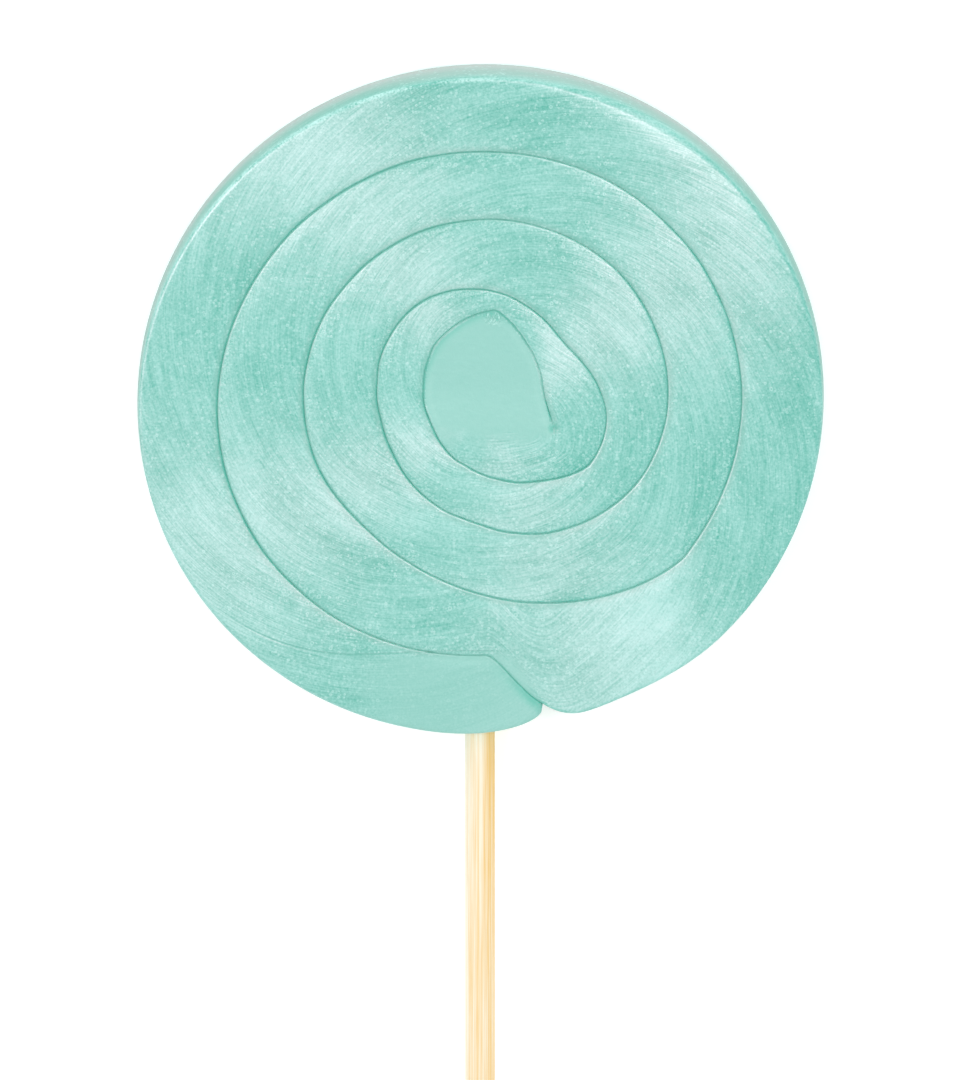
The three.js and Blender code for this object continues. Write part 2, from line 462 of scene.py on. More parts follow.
def front_height(bench, seam, rim, x, y, sizes):
    """The height of the front, in millimetres above the table."""
    pillow = share(seam, sizes["Pillow Reach"], 0) ** 2 * sizes["Pillow"]
    wear = on_side(x, y, WORN_SIDE) + LEAST_WORN
    slope = share(rim, sizes["Rim Slope Reach"], 0) ** 2 * sizes["Rim Slope"] * wear
    groove = shoulder(seam, sizes["Seam Depth"], sizes["Seam Shoulder"])
    from_pit = ease(apart(x, y, *PIT_PLACE), *PIT_REACH)
    rounding = blend(LEAST_ROUND, 1, on_side(x, y, ROUND_SIDE))
    roll = shoulder(rim, sizes["Rim Drop"] * rounding, sizes["Rim Shoulder"] * rounding)
    dents = bench.vector(x / RELIEF_SPREAD, y / RELIEF_SPREAD)
    relief = bench.noise(dents, detail=2.0) * sizes["Hand Relief"]
    leaf = named(bench, "core") * ease(y, *LEAF_REACH) * from_pit * sizes["Leaf Sink"]
    folds = greater(groove * from_pit, roll) + greater(pillow, slope)
    sunk = greater(folds, leaf) + relief + tail_lens(x, y) * LENS_DEPTH + FACE_ALLOWANCE
    return THICKNESS - sunk


def back_height(seam, rim, sizes):
    """The height of the back, in millimetres above the table."""
    depth, width = sizes["Seam Depth"] * PRESSED_DEPTH, sizes["Seam Shoulder"] * PRESSED_WIDTH
    return greater(shoulder(seam, depth, width), shoulder(rim, sizes["Rim Drop"], sizes["Rim Shoulder"]))


# %% [markdown]
# ## The coil as a Geometry Nodes tree
#
# The candy could be sculpted, or a rope profile could be swept along a spiral, but a swept rope
# would not close against its own neighbours. A rule that gives every point of the skin its place
# does close: five grids, for the front, the front of the core, the back, the back of the core and
# the rim, are laid out flat, raised to their heights and merged along their shared borders.
#
# Each face corner also keeps a `rope` UV: the length along the rope and the depth in from its outer
# edge, in metres. The pulled streaks in the material follow it round the coil.

# %% The tree's named sizes, in millimetres
COIL_SIZES = {
    "Seam Depth": 0.32,
    "Seam Shoulder": 0.36,
    "Pillow": 0.2,
    "Pillow Reach": 3.0,
    "Rim Drop": 1.1,
    "Rim Shoulder": 1.1,
    "Rim Slope": 0.5,
    "Rim Slope Reach": 5.5,
    "Rim Bulge": 0.3,
    "Hand Relief": 0.25,
    "Leaf Sink": 0.45,
    "Stick Collar": 0.45,
}
STATIONS_PER_TURN = 320
FRONT_ROWS, CORE_ROWS, BACK_ROWS, RIM_ROWS = 40, 24, 8, 20


def new_tree(name, sizes, counts):
    """An empty tree with its named inputs, and those inputs as wires."""
    tree = bpy.data.node_groups.new(name, "GeometryNodeTree")
    tree.interface.new_socket("Geometry", in_out="OUTPUT", socket_type="NodeSocketGeometry")
    for label in sizes:
        tree.interface.new_socket(label, in_out="INPUT", socket_type="NodeSocketFloat")
    for label in counts:
        tree.interface.new_socket(label, in_out="INPUT", socket_type="NodeSocketInt")
    tree.interface.new_socket("Finish", in_out="INPUT", socket_type="NodeSocketMaterial")
    bench = Bench(tree)
    group_input = bench.add("NodeGroupInput")
    return bench, {label: group_input[label] for label in (*sizes, *counts, "Finish")}


def store(bench, geometry, name, value, kind="FLOAT", domain="POINT"):
    """The geometry with a named attribute written on it."""
    settings = {"data_type": kind, "domain": domain}
    inputs = {"Geometry": geometry, "Name": name, "Value": value}
    return bench.add("GeometryNodeStoreNamedAttribute", settings, inputs)[0]


def named(bench, name):
    """A stored attribute, read back."""
    return bench.add("GeometryNodeInputNamedAttribute", {}, {"Name": name})["Attribute"]


def move(bench, geometry, position=None, offset=None):
    inputs = {"Geometry": geometry}
    if position:
        inputs["Position"] = position
    if offset:
        inputs["Offset"] = offset
    return bench.add("GeometryNodeSetPosition", {}, inputs)[0]


# %% [markdown]
# Two helpers lay the raw material: a thin line of edges along a stretch of the rope's outer edge,
# for Geometry Proximity, and a flat grid that knows for each of its points how many turns along
# the rope and how far across it lies.


# %% Thin lines and flat grids
def edge_line(bench, from_turns, to_turns, per_turn):
    """A line of edges along the rope's outer edge."""
    count = per_turn * (to_turns - from_turns) + 1
    line = bench.add("GeometryNodeMeshLine", {"mode": "OFFSET"}, {"Count": count})[0]
    turns = bench.add("GeometryNodeInputIndex")[0] / per_turn + from_turns
    angle = wound_angle(turns)
    return move(bench, line, place(bench, angle, edge(angle)))


def flat_grid(bench, from_turns, to_turns, rows, per_turn):
    """A grid that stores its turns and its row, from 0 at one border to 1 at the other."""
    stations = per_turn * (to_turns - from_turns) + 1
    sizes = {"Size X": 1.0, "Size Y": 1.0, "Vertices X": stations, "Vertices Y": rows + 1}
    grid = bench.add("GeometryNodeMeshGrid", {}, sizes)["Mesh"]
    here = bench.add("ShaderNodeSeparateXYZ", {}, {0: bench.add("GeometryNodeInputPosition")[0]})
    turns = (here["X"] + 0.5) * (to_turns - from_turns) + from_turns
    grid = store(bench, grid, "turns", turns)
    return store(bench, grid, "row", here["Y"] + 0.5)


def rope_lengths(bench, per_turn):
    """The length along the rope's middle at each station, looked up by turns."""
    turns = bench.add("GeometryNodeInputIndex")[0] / per_turn
    angle = wound_angle(turns)
    stride = (wound_angle(turns + 1 / per_turn) - angle) * math.radians(1)
    count = per_turn * END_TURNS + 2
    line = bench.add("GeometryNodeMeshLine", {"mode": "OFFSET"}, {"Count": count})[0]
    middle = (edge(angle) + edge(angle + 360)) / 2
    run = bench.add("GeometryNodeAccumulateField", {}, {"Value": middle * stride * MM})["Leading"]
    station = named(bench, "turns") * per_turn + 0.5
    inputs = {"Geometry": line, "Value": run, "Index": station.maths("FLOOR")}
    return bench.add("GeometryNodeSampleIndex", {}, inputs)[0]


# %% [markdown]
# The skins are then laid in place. Rows crowd towards the seams, where the shoulders need them:
# taking a little of a sine off an even spacing packs them there without a table of numbers.


# %% Lay the five skins flat
ROW_CROWDING = 0.9
CORE_SPREAD = 1.25  # packs the core's rows towards its border


def crowded(row):
    return row - sine(row * 360) * (ROW_CROWDING / (2 * math.pi))


def rope_skin(bench, rows, per_turn):
    grid = flat_grid(bench, 0, END_TURNS, rows, per_turn)
    turns = named(bench, "turns")
    angle = wound_angle(turns)
    grid = store(bench, grid, "core", ease(turns, MOUTH_TURNS, MOUTH_TURNS + 0.1))
    radius = blend(edge(angle), inner_border(turns, angle), crowded(named(bench, "row")))
    return lay(bench, grid, angle, radius, edge(angle) - radius, per_turn)


def core_skin(bench, rows, per_turn):
    grid = flat_grid(bench, MOUTH_TURNS, END_TURNS, rows, per_turn)
    grid = store(bench, grid, "core", 1.0)
    turns = named(bench, "turns")
    angle = wound_angle(turns)
    radius = inner_border(turns, angle) * (1 - named(bench, "row") ** CORE_SPREAD)
    return lay(bench, grid, angle, radius, edge(angle) - radius, per_turn)


def rim_skin(bench, rows, per_turn):
    grid = flat_grid(bench, 0, 1, rows, per_turn)
    angle = wound_angle(named(bench, "turns"))
    return lay(bench, grid, angle, edge(angle), named(bench, "row") * -THICKNESS, per_turn)


def lay(bench, grid, angle, radius, depth, per_turn):
    """Puts a grid in its flat place and writes its rope UV."""
    uv = bench.vector(rope_lengths(bench, per_turn), depth * MM)
    grid = store(bench, grid, "rope", uv, "FLOAT2", "CORNER")
    return move(bench, grid, place(bench, angle, radius))


# %% [markdown]
# Raising the skins is the last step. The rim runs from the front's outer border down to the back's,
# swells outward between them, and rises into a small collar round the stick, because hot sugar
# creeps up whatever is pressed into it.


# %% Raise the skins
COLLAR_REACH = 1.6  # how far the collar spreads from the stick
STICK_SIDE = (-30, -50)  # the collar belongs to this end of the rim only


def measured(bench, skin, seam_line, rim_line):
    """The skin, with its distances from the seams and the rim and its share of the lens."""
    skin = store(bench, skin, "seam", nearness(bench, seam_line))
    skin = store(bench, skin, "rim", nearness(bench, rim_line))
    return store(bench, skin, "lens", tail_lens(*flat_xy(bench)))


def lifted(bench, skin, height):
    return move(bench, skin, offset=bench.vector(0.0, 0.0, height * MM))


def raised_front(bench, skin, sizes):
    height = front_height(bench, named(bench, "seam"), named(bench, "rim"), *flat_xy(bench), sizes)
    return lifted(bench, skin, height)


def raised_back(bench, skin, sizes):
    return lifted(bench, skin, back_height(named(bench, "seam"), named(bench, "rim"), sizes))


def raised_rim(bench, skin, sizes):
    """The rim, which runs from the front down to the back and swells and rises on the way."""
    x, y = flat_xy(bench)
    seam, rim = named(bench, "seam"), named(bench, "rim")
    row, turns = named(bench, "row"), named(bench, "turns")
    front = front_height(bench, seam, rim, x, y, sizes)
    height = blend(front, back_height(seam, rim, sizes), row)
    from_stick = apart(x, height, 0, THICKNESS / 2)
    collar = share(from_stick, STICK_RADIUS + COLLAR_REACH, STICK_RADIUS) ** 2 * share(y, *STICK_SIDE)
    swell = sine(row * 180) * sine(turns * 180) ** 0.5 * sizes["Rim Bulge"]
    outward = place(bench, wound_angle(turns), swell + collar * sizes["Stick Collar"])
    return lifted(bench, move(bench, skin, offset=outward), height)


# %% [markdown]
# The tree is then put together: the two lines, the five skins, one shell without doubled points,
# and the finish. The rows and stations are dense enough that the shoulders of the seams, a third of
# a millimetre wide, are real geometry.


# %% Join and close the skins
MERGE_DISTANCE = 2e-6


def turned_over(bench, skin):
    return bench.add("GeometryNodeFlipFaces", {}, {"Mesh": skin})[0]


def coil_tree():
    bench, given = new_tree("candy coil", COIL_SIZES, ["Stations per Turn"])
    per_turn = given["Stations per Turn"]
    lines = edge_line(bench, 1, END_TURNS, per_turn), edge_line(bench, 0, 1, per_turn)
    front = [rope_skin(bench, FRONT_ROWS, per_turn), core_skin(bench, CORE_ROWS, per_turn)]
    back = [rope_skin(bench, BACK_ROWS, per_turn), core_skin(bench, BACK_ROWS, per_turn)]
    rim = measured(bench, rim_skin(bench, RIM_ROWS, per_turn), *lines)
    front = [raised_front(bench, measured(bench, skin, *lines), given) for skin in front]
    skins = [turned_over(bench, skin) for skin in front]
    skins += [raised_back(bench, measured(bench, skin, *lines), given) for skin in back]
    skins.append(raised_rim(bench, rim, given))
    shell = bench.add("GeometryNodeJoinGeometry", {}, {"Geometry": skins})[0]
    merge = {"Geometry": shell, "Distance": MERGE_DISTANCE}
    shell = bench.add("GeometryNodeMergeByDistance", {}, merge)[0]
    shell = bench.add("GeometryNodeSetShadeSmooth", {}, {"Geometry": shell})[0]
    shell = bench.add("GeometryNodeRealizeInstances", {}, {"Geometry": shell})[0]
    finish = {"Geometry": shell, "Material": given["Finish"]}
    shell = bench.add("GeometryNodeSetMaterial", {}, finish)[0]
    bench.add("NodeGroupOutput", {}, {"Geometry": shell})
    print(f"the coil tree has {len(bench.tree.nodes)} nodes")
    return bench.tree


# %% [markdown]
# ## Finishes
#
# A finish is one material. What is the same all over a piece is set straight on the shader's own
# sockets, and only what changes over the surface is wired up. The places that the rules ask for
# come from the piece itself: Object coordinates, the rope's UV and the distances that the tree
# stored, so a pattern stays where it is however the piece is turned.


# %% A new finish
def new_finish(name, **uniform):
    """A material with only its Principled shader, whose uniform values are set on its sockets."""
    finish = bpy.data.materials.new(name)
    finish.use_nodes = True
    shader = finish.node_tree.nodes["Principled BSDF"]
    for key, value in uniform.items():
        shader.inputs[key.replace("_", " ").title().replace("Ior", "IOR")].default_value = value
    return finish, Bench(finish.node_tree), shader


def mixed(bench, factor, a, b):
    """Two colours mixed by a factor."""
    inputs = {"Factor": factor, "A": a, "B": b}
    return bench.add("ShaderNodeMix", {"data_type": "RGBA"}, inputs)[0]


def bumped(bench, height, strength=1.0):
    """A normal tilted by a height in millimetres."""
    inputs = {"Strength": strength, "Distance": MM, "Height": height}
    return bench.add("ShaderNodeBump", {}, inputs)[0]


def fasten(finish, shader, color, rough, normal):
    """Wires what varies into a finish's own shader."""
    for name, wire in (("Base Color", color), ("Roughness", rough), ("Normal", normal)):
        finish.node_tree.links.new(wire.socket, shader.inputs[name])


# %% [markdown]
# The rules for the sugar ask many things of a place on the candy: where it lies on the face, how
# far along the rope it is, and how far beside the threads that pulling left in the sugar. `Spot`
# answers them all in millimetres, so that each rule below reads in the same words.

# %% What a place on the candy knows
THREAD_ANGLE = 18  # degrees between the pulled threads and the run of the rope


def in_millimetres(bench):
    """Object coordinates in millimetres."""
    here = bench.add("ShaderNodeTexCoord")["Object"]
    settings = {"operation": "SCALE"}
    return bench.add("ShaderNodeVectorMath", settings, {0: here, "Scale": 1 / MM})[0]


def parted(bench, vector):
    """A vector's parts."""
    return bench.add("ShaderNodeSeparateXYZ", {}, {0: vector})


class Spot:
    """What a rule can ask of a place on the candy. All lengths are in millimetres."""

    def __init__(self, bench):
        self.bench = bench
        self.place = in_millimetres(bench)
        face = parted(bench, self.place)
        self.x, self.y = face["X"], face["Y"]
        rope = parted(bench, bench.add("ShaderNodeUVMap", {"uv_map": "rope"})[0])
        self.along = rope["X"] / MM  # from the tail's end
        self.across = rope["Y"] / MM  # in from the rope's outer edge, and below 0 on the rim
        lean = math.radians(THREAD_ANGLE)
        self.down_thread = self.along * math.cos(lean) - self.across * math.sin(lean)
        self.beside_thread = self.along * math.sin(lean) + self.across * math.cos(lean)
        self.seam, self.rim = self.stored("seam"), self.stored("rim")
        self.core, self.lens = self.stored("core"), self.stored("lens")
        self.uneven = bench.noise(bench.vector(self.down_thread * 0.12, 2.0))

    def stored(self, name):
        """One of the values that the coil's tree wrote on the mesh."""
        return self.bench.add("ShaderNodeAttribute", {"attribute_name": name})["Fac"]

    def from_place(self, other):
        """How far away another place on the face is."""
        return apart(self.x, self.y, *other)

    def towards(self, direction):
        return towards(self.x, self.y, direction)

    def stretched(self, beside, down, seed=0.0, **more):
        """Noise drawn out along the threads, with its repeats per millimetre both ways."""
        place = self.bench.vector(self.beside_thread * beside, self.down_thread * down, seed)
        return self.bench.noise(place, **more)


# %% [markdown]
# ## Satin sugar
#
# Pulling folds thousands of fine air threads into the sugar. They scatter light, which makes it
# pale, and they lie side by side, which gives it the sheen of a brushed disc: light is thrown in
# fans that stay put while the candy turns. One could paint those fans, but they would not move with
# the light. The shader's own anisotropy does it properly. Left unlinked, its tangent runs round the
# middle of the piece, which is how the rope runs, and one number turns it by the angle at which the
# threads lie across the rope.
#
# The mint green is two colours, a deep one and one whitened by air. A tone from 0 to 1 mixes them.
# It sums up four noises, from hairs a third of a millimetre wide to clouds of several millimetres.
# The sugar is also painted paler to the right of the notch, as a sheen, and painted a little darker at
# the upper right, as shade.

# %% The sugar's colours and its tone
SUGAR_DEEP = (0.015, 0.455, 0.34, 1)
SUGAR_PALE = (0.37, 0.79, 0.715, 1)
# Paler sugar to the right of the notch, painted as a sheen.
PAINTED_SHEEN_PATCH = {"place": place_xy(322, 50), "reach": 16, "full": 5, "amount": 0.4}
# Darker sugar at the upper right, painted as shade.
PAINTED_UPPER_SHADE = {"direction": WORN_SIDE["direction"], "start": 15, "full": 40, "amount": 0.1}
TONE_RANGE = (-0.55, 0.55)


class Grain:
    """The noises of pulled sugar, from the finest to the broadest."""

    def __init__(self, spot):
        self.hair = spot.stretched(3.4, 0.15, detail=2.0, roughness=0.6)
        self.strand = spot.stretched(0.9, 0.05, seed=5.0, detail=2.0)
        self.cloud = spot.stretched(0.13, 0.05, seed=9.0, detail=2.0)
        self.fizz = spot.bench.noise(spot.place, scale=2.6, detail=1.0, roughness=0.6)
        self.dimple = spot.bench.noise(spot.place, scale=0.4, detail=2.0)


def sugar_tone(spot, grain):
    """How pale the sugar is, from 0 to 1, with a painted sheen right of the notch and painted shade at
    the upper right.
    """
    painted_sheen = share(spot.from_place(PAINTED_SHEEN_PATCH["place"]), PAINTED_SHEEN_PATCH["reach"], PAINTED_SHEEN_PATCH["full"]) * PAINTED_SHEEN_PATCH["amount"]
    upper_shade = share(spot.towards(PAINTED_UPPER_SHADE["direction"]), PAINTED_UPPER_SHADE["start"], PAINTED_UPPER_SHADE["full"]) * PAINTED_UPPER_SHADE["amount"]
    fine = grain.hair * 0.9 + grain.strand * 0.6
    return share(fine + grain.cloud + grain.fizz + (painted_sheen - upper_shade), *TONE_RANGE)


# %% [markdown]
# Some of the air sits in bubbles, and those that broke at the surface left pale rings and dots.
# Modelled one by one they would take millions of faces. A Voronoi texture puts at most one in each
# cell, and a lottery decides which cells have one. There are more of them where the sugar is cloudy
# and here and there along the seams.


# %% Burst bubbles
def bubbles(spot, per_mm, largest, plenty):
    """Burst bubbles of one size: the small ones are dots, the large ones rings."""
    cells = spot.bench.add("ShaderNodeTexVoronoi", {}, {"Vector": spot.place, "Scale": per_mm})
    lot = parted(spot.bench, cells["Color"])
    ring = lot["X"] * (largest * per_mm)
    there = share(lot["Y"] + plenty, 0.9, 1.1)
    return ease(abs(cells["Distance"] - ring), 0.17 * per_mm, 0.0) * there


def burst_bubbles(spot, grain):
    """Two sizes of bubble together."""
    along_seams = share(spot.seam, 5, 0.5) * share(spot.uneven, -0.1, 0.1)
    plenty = share(grain.cloud, 0.2, -0.2) * 0.35 + along_seams * 0.4
    return greater(bubbles(spot, 1.9, 0.2, plenty), bubbles(spot, 1.0, 0.3, plenty))


# %% [markdown]
# A pale line along each seam's inner shoulder and the rim's corner at the upper left are painted
# highlights, as pale as the bubbles. The rim's wall and the sugar beside the seams are painted darker
# as shade, and a greyish band low on the wall is painted as light reflected from the table.

# %% Painted highlights, and painted shade and table light on the wall
# The pale of the bubbles, also used for the painted highlights.
BUBBLE_AND_HIGHLIGHT_PALE = (0.52, 0.92, 0.85, 1)
# Painted shade on the wall and beside the seams.
SHADE_DULL_TEAL = (0.22, 0.50, 0.42, 1)
# Painted reflection of the table, low on the wall.
TABLE_REFLECTION_GREY = (0.42, 0.49, 0.455, 1)
SEAM_HIGHLIGHT_LINE = 0.65  # the painted highlight lies this far in from the seam


def bubbles_and_painted_highlights(spot, grain, bubble):
    """The strongest pale mark at each place, from the bubbles and the painted highlights along the seams
    and on the rim's corner.
    """
    # A pale line along each seam's inner shoulder, painted as a highlight.
    painted_seam_highlight = ease(abs(spot.across - SEAM_HIGHLIGHT_LINE), 0.45, 0.1) * ease(spot.rim, 2, 3)
    painted_seam_highlight = painted_seam_highlight * share(grain.fizz + spot.uneven, 0.0, 0.25)
    corner = ease(spot.rim, 0.9, 0.2) * share(spot.across, -0.4, 0.0)
    # A pale streak on the rim's corner at the upper left, painted as a highlight.
    painted_corner_highlight = corner * share(spot.y, 28, 38) * share(spot.x, 8, -6)
    painted_corner_highlight = painted_corner_highlight * share(spot.uneven + grain.fizz * 0.6, -0.1, 0.15)
    return greater(greater(bubble * 0.4, painted_seam_highlight * 0.6), painted_corner_highlight * 0.8)


def with_painted_shade_and_table_light(spot, color):
    """A colour with painted shade on the rim's wall and beside the seams, and a greyish painted
    reflection of the table low on the wall.
    """
    # Painted shade on the wall and beside the seams.
    wall = share(spot.across, -0.3, -3) * 0.85
    inner_lip = ease(spot.seam, 1.4, 0.4) * share(spot.across, 6, 8) * 0.3
    color = mixed(spot.bench, greater(wall, inner_lip), color, SHADE_DULL_TEAL)
    # A greyish band low on the wall, painted as light reflected from the table.
    low_on_wall = share(spot.across, -4, -9) * 0.65
    return mixed(spot.bench, low_on_wall, color, TABLE_REFLECTION_GREY)


# %% [markdown]
# Where two wraps meet, light is trapped, and the groove is painted a deep teal as shade. The painted
# line is wider at the left and beside the notch, it is darker in some stretches than in others, and a
# soft halo of painted shade spreads from it in places. The leaf's outline, the crease across the tail,
# two shaded stretches of the wall and the hollows at the pit, under the leaf's rim and by the notch
# are painted dark as shade in the same way.

# %% Painted shade in the seams and hollows
# The deep teal of the painted shade; the leaf's faint mottle uses it too.
SHADE_AND_MOTTLE_TEAL = (0.02, 0.46, 0.34, 1)


def seam_line(spot):
    """The hairline between two wraps, painted dark as shade, with its soft halo of painted shade."""
    west = share(spot.x, 10, -30)
    at_notch = share(spot.from_place(NOTCH_PLACE), 11, 2)
    width = west * 0.2 + spot.uneven * 0.7 + at_notch * 0.5 + 0.4
    stretches = share(spot.uneven, -0.25, 0.1) * 0.45 + 0.55
    line = ease(spot.seam, width, 0.04) * (west * 0.25 + 0.65) * stretches
    leaf_line = spot.core * ease(spot.y, -6, 0) * ease(spot.seam, 0.4, 0.1) * 0.95
    halo = ease(spot.seam, 1.3, 0.1) * share(spot.uneven, -0.2, 0.2) * 0.5
    return greater(greater(line, leaf_line), halo)


def crease_line(spot):
    """The crease across the tail, as a thin line, painted dark as shade and dented in the bump."""
    line = ease(abs(spot.y - crease_y(spot.x)), 0.3, 0.03)
    return line * share(spot.x, 6, 0) * share(spot.x, -44, -36)


def shaded_wall(spot):
    """The wall's two shaded stretches, at the right and at the upper left."""
    right = share(spot.across, -0.2, -1.5) * share(spot.x, 38, 48) * 0.45
    band = share(spot.across, -0.4, -1.4) * share(spot.across, -5, -3)
    left = band * share(spot.x, -6, -20) * share(spot.y, 20, 34) * (spot.uneven + 0.4)
    return greater(right, left)


def painted_hollow_shade(spot):
    """Painted shade in the hollows: at the pit, under the leaf's rim and by the notch."""
    pit = ease(spot.from_place(PIT_PLACE), 1.4, 0.3) * 0.8
    leaf_rim = spot.core * ease(spot.seam, 2.0, 0.0) * ease(spot.y, 2, 10) * ease(spot.x, 6, 2)
    on_tail = share(spot.along, 60, 40) * ease(spot.seam, 2.2, 0.0)
    by_notch = on_tail * share(spot.from_place(NOTCH_PLACE), 12, 2)
    return greater(greater(pit, leaf_rim * 0.6), by_notch)


# %% [markdown]
# The leaf at the middle and the lens on the tail were pressed smooth, which closed the threads.
# They get a second shader without anisotropy, with only a faint mottle, with painted shade at the
# pit, under the leaf's rim and by the notch, and with crinkles at the leaf's pinched tip, whose
# hollows are painted dark as shade and whose crests pale as highlight. A mask mixes the two shaders.

# %% The smooth leaf
LEAF = (0.29, 0.62, 0.55, 1)


def leaf_mask(spot):
    """The smooth places, from 0 to 1."""
    lower_end = spot.y + spot.bench.noise(spot.place, scale=0.3) * 8
    leaf = spot.core * ease(spot.seam, 0.2, 0.6) * ease(lower_end, -9, -3)
    return greater(leaf * share(spot.from_place((0, 0)), 20, 18), spot.lens * 0.7)


def smooth_leaf(spot):
    """The shader of the smooth places."""
    bench = spot.bench
    mottle = bench.noise(spot.place, scale=0.9, detail=3.0)
    crinkle = bench.noise(bench.vector(spot.x * 1.8, spot.y * 0.9), detail=2.0, roughness=0.7)
    crinkle = crinkle * ease(spot.from_place(TIP_PLACE), 3.6, 1.2)
    # Painted shade in the hollows, and a faint mottle.
    color = mixed(bench, painted_hollow_shade(spot) * 0.75 + mottle * 0.16, LEAF, SHADE_AND_MOTTLE_TEAL)
    # The crinkles' hollows are painted dark as shade and their crests pale as highlight.
    color = mixed(bench, share(crinkle, -0.05, -0.25) * 0.8, color, SHADE_AND_MOTTLE_TEAL)
    color = mixed(bench, share(crinkle, 0.04, 0.2), color, BUBBLE_AND_HIGHLIGHT_PALE)
    rough = ease(spot.seam, 1.8, 0.3) * 0.4 + 0.35
    normal = bumped(bench, crinkle * 0.5 + mottle * 0.05)
    inputs = {"Base Color": color, "Roughness": rough, "Normal": normal}
    return bench.add("ShaderNodeBsdfPrincipled", {}, inputs)[0]


# %% [markdown]
# All of this now comes together. Colour is laid on as a painter would, from the ground up: tone,
# the wall's painted shade and table light, pale bubbles and painted highlights, and painted shade in
# the seams and hollows. The hairs make the sugar a little rougher and smoother by turns and stand up
# as fine ridges, so they glitter in the sheen.

# %% The satin sugar
SHEEN_ANGLE = 25  # degrees by which the sheen's fans are turned
SATIN = {
    "ior": 1.6,
    "specular_ior_level": 1.0,
    "specular_tint": (1.0, 0.58, 0.73, 1),
    "anisotropic": 0.9,
    "anisotropic_rotation": 0.25 + SHEEN_ANGLE / 360,
    "coat_weight": 0.25,
    "coat_roughness": 0.25,
}


def satin_sugar():
    finish, bench, shader = new_finish("satin_sugar", **SATIN)
    spot = Spot(bench)
    grain = Grain(spot)
    bubble, crease = burst_bubbles(spot, grain), crease_line(spot)
    color = mixed(bench, sugar_tone(spot, grain), SUGAR_DEEP, SUGAR_PALE)
    # Painted shade on the wall and beside the seams, and a painted reflection of the table low on the
    # wall.
    color = with_painted_shade_and_table_light(spot, color)
    # Bubbles, and painted highlights along the seams and on the rim's corner.
    color = mixed(bench, bubbles_and_painted_highlights(spot, grain, bubble), color, BUBBLE_AND_HIGHLIGHT_PALE)
    # Painted shade in the seams, the crease, the wall's stretches and the hollows.
    dark = greater(seam_line(spot), greater(crease * 0.4, shaded_wall(spot)))
    dark = greater(dark, painted_hollow_shade(spot) * 0.7)
    color = mixed(bench, dark, color, SHADE_AND_MOTTLE_TEAL)
    height = grain.hair * 0.052 + bubble * 0.012 + grain.dimple * 0.06 - crease * 0.08
    fasten(finish, shader, color, 0.445 - grain.hair * 0.4, bumped(bench, height))
    both = {0: leaf_mask(spot), 1: Wire(bench, shader.outputs[0]), 2: smooth_leaf(spot)}
    result = bench.add("ShaderNodeMixShader", {}, both)[0]
    output = finish.node_tree.nodes["Material Output"]
    finish.node_tree.links.new(result.socket, output.inputs["Surface"])
    print(f"satin sugar has {len(finish.node_tree.nodes)} nodes")
    return finish


# %% [markdown]
# ## From tree to mesh
#
# The exported model carries plain meshes only. Each piece starts as an empty object with the tree
# as its modifier, its inputs are set before it is first looked at, and the evaluated result is
# kept as an ordinary mesh.


# %% Make the candy
def made_by(tree, name, values):
    """The tree's result with these input values, as a plain mesh object at the origin."""
    source = bpy.data.objects.new(name, bpy.data.meshes.new(name + "_start"))
    bpy.context.scene.collection.objects.link(source)
    modifier = source.modifiers.new("tree", "NODES")
    modifier.node_group = tree
    for item in tree.interface.items_tree:
        if item.in_out == "INPUT":
            modifier[item.identifier] = values[item.name]
    evaluated = source.evaluated_get(bpy.context.evaluated_depsgraph_get())
    mesh = bpy.data.meshes.new_from_object(evaluated)
    source.modifiers.remove(modifier)
    source.data = mesh
    mesh.name = name
    print(f"{name}: {sum(len(p.vertices) - 2 for p in mesh.polygons)} triangles")
    return source


values = {**COIL_SIZES, "Stations per Turn": STATIONS_PER_TURN, "Finish": satin_sugar()}
candy = made_by(coil_tree(), "pulled_candy", values)
for spare in ("turns", "row"):
    candy.data.attributes.remove(candy.data.attributes[spare])
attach(candy, "root")
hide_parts("candy_coil")

# %% [markdown]
# ## Straight-grained wood
#
# The stick is a round rod of a pale, straight-grained wood such as birch. Its fibres run its whole
# length as fine cream and honey-coloured lines. A noise stretched along the rod, in the rod's own
# coordinates, gives them, because the grain belongs to the plank that the rod was cut from and not
# to its surface. Broader bands lie under the fibres, and one flank is painted a little paler, as a
# highlight.

# %% The wood material
WOOD_PALE = (0.97, 0.90, 0.73, 1)
WOOD_HONEY = (0.90, 0.60, 0.21, 1)


def straight_grained_wood():
    finish, bench, shader = new_finish("straight_grained_wood", specular_ior_level=0.3)
    at = parted(bench, in_millimetres(bench))
    x, y, z = at["X"], at["Y"], at["Z"]
    fibre = bench.noise(bench.vector(x * 3.2, y * 0.035, z * 3.2), detail=3.0, roughness=0.7)
    band = bench.noise(bench.vector(x * 0.6, y * 0.012, z * 0.6), detail=1.0)
    # One flank painted paler, as a highlight.
    painted_flank_highlight = share(x, 1.2, -1.6) * 0.4
    tone = share(fibre * 2.4 + band * 1.6 + painted_flank_highlight, -0.35, 0.6)
    color = mixed(bench, tone, WOOD_HONEY, WOOD_PALE)
    normal = bumped(bench, fibre * 0.05, strength=0.4)
    fasten(finish, shader, color, fibre * 0.2 + 0.6, normal)
    return finish


# %% [markdown]
# The rod itself is turned, as on a lathe: a profile of points is set out along its axis, with the
# ends sanded to a small quarter round, and joined into rings. The points at both ends fall together
# on the axis, so they are merged before the faces are made to point outwards.

# %% Make the stick
ROD_SIDES = 64
SANDED_EDGE = 0.4 * MM
SANDED_STEPS = 5


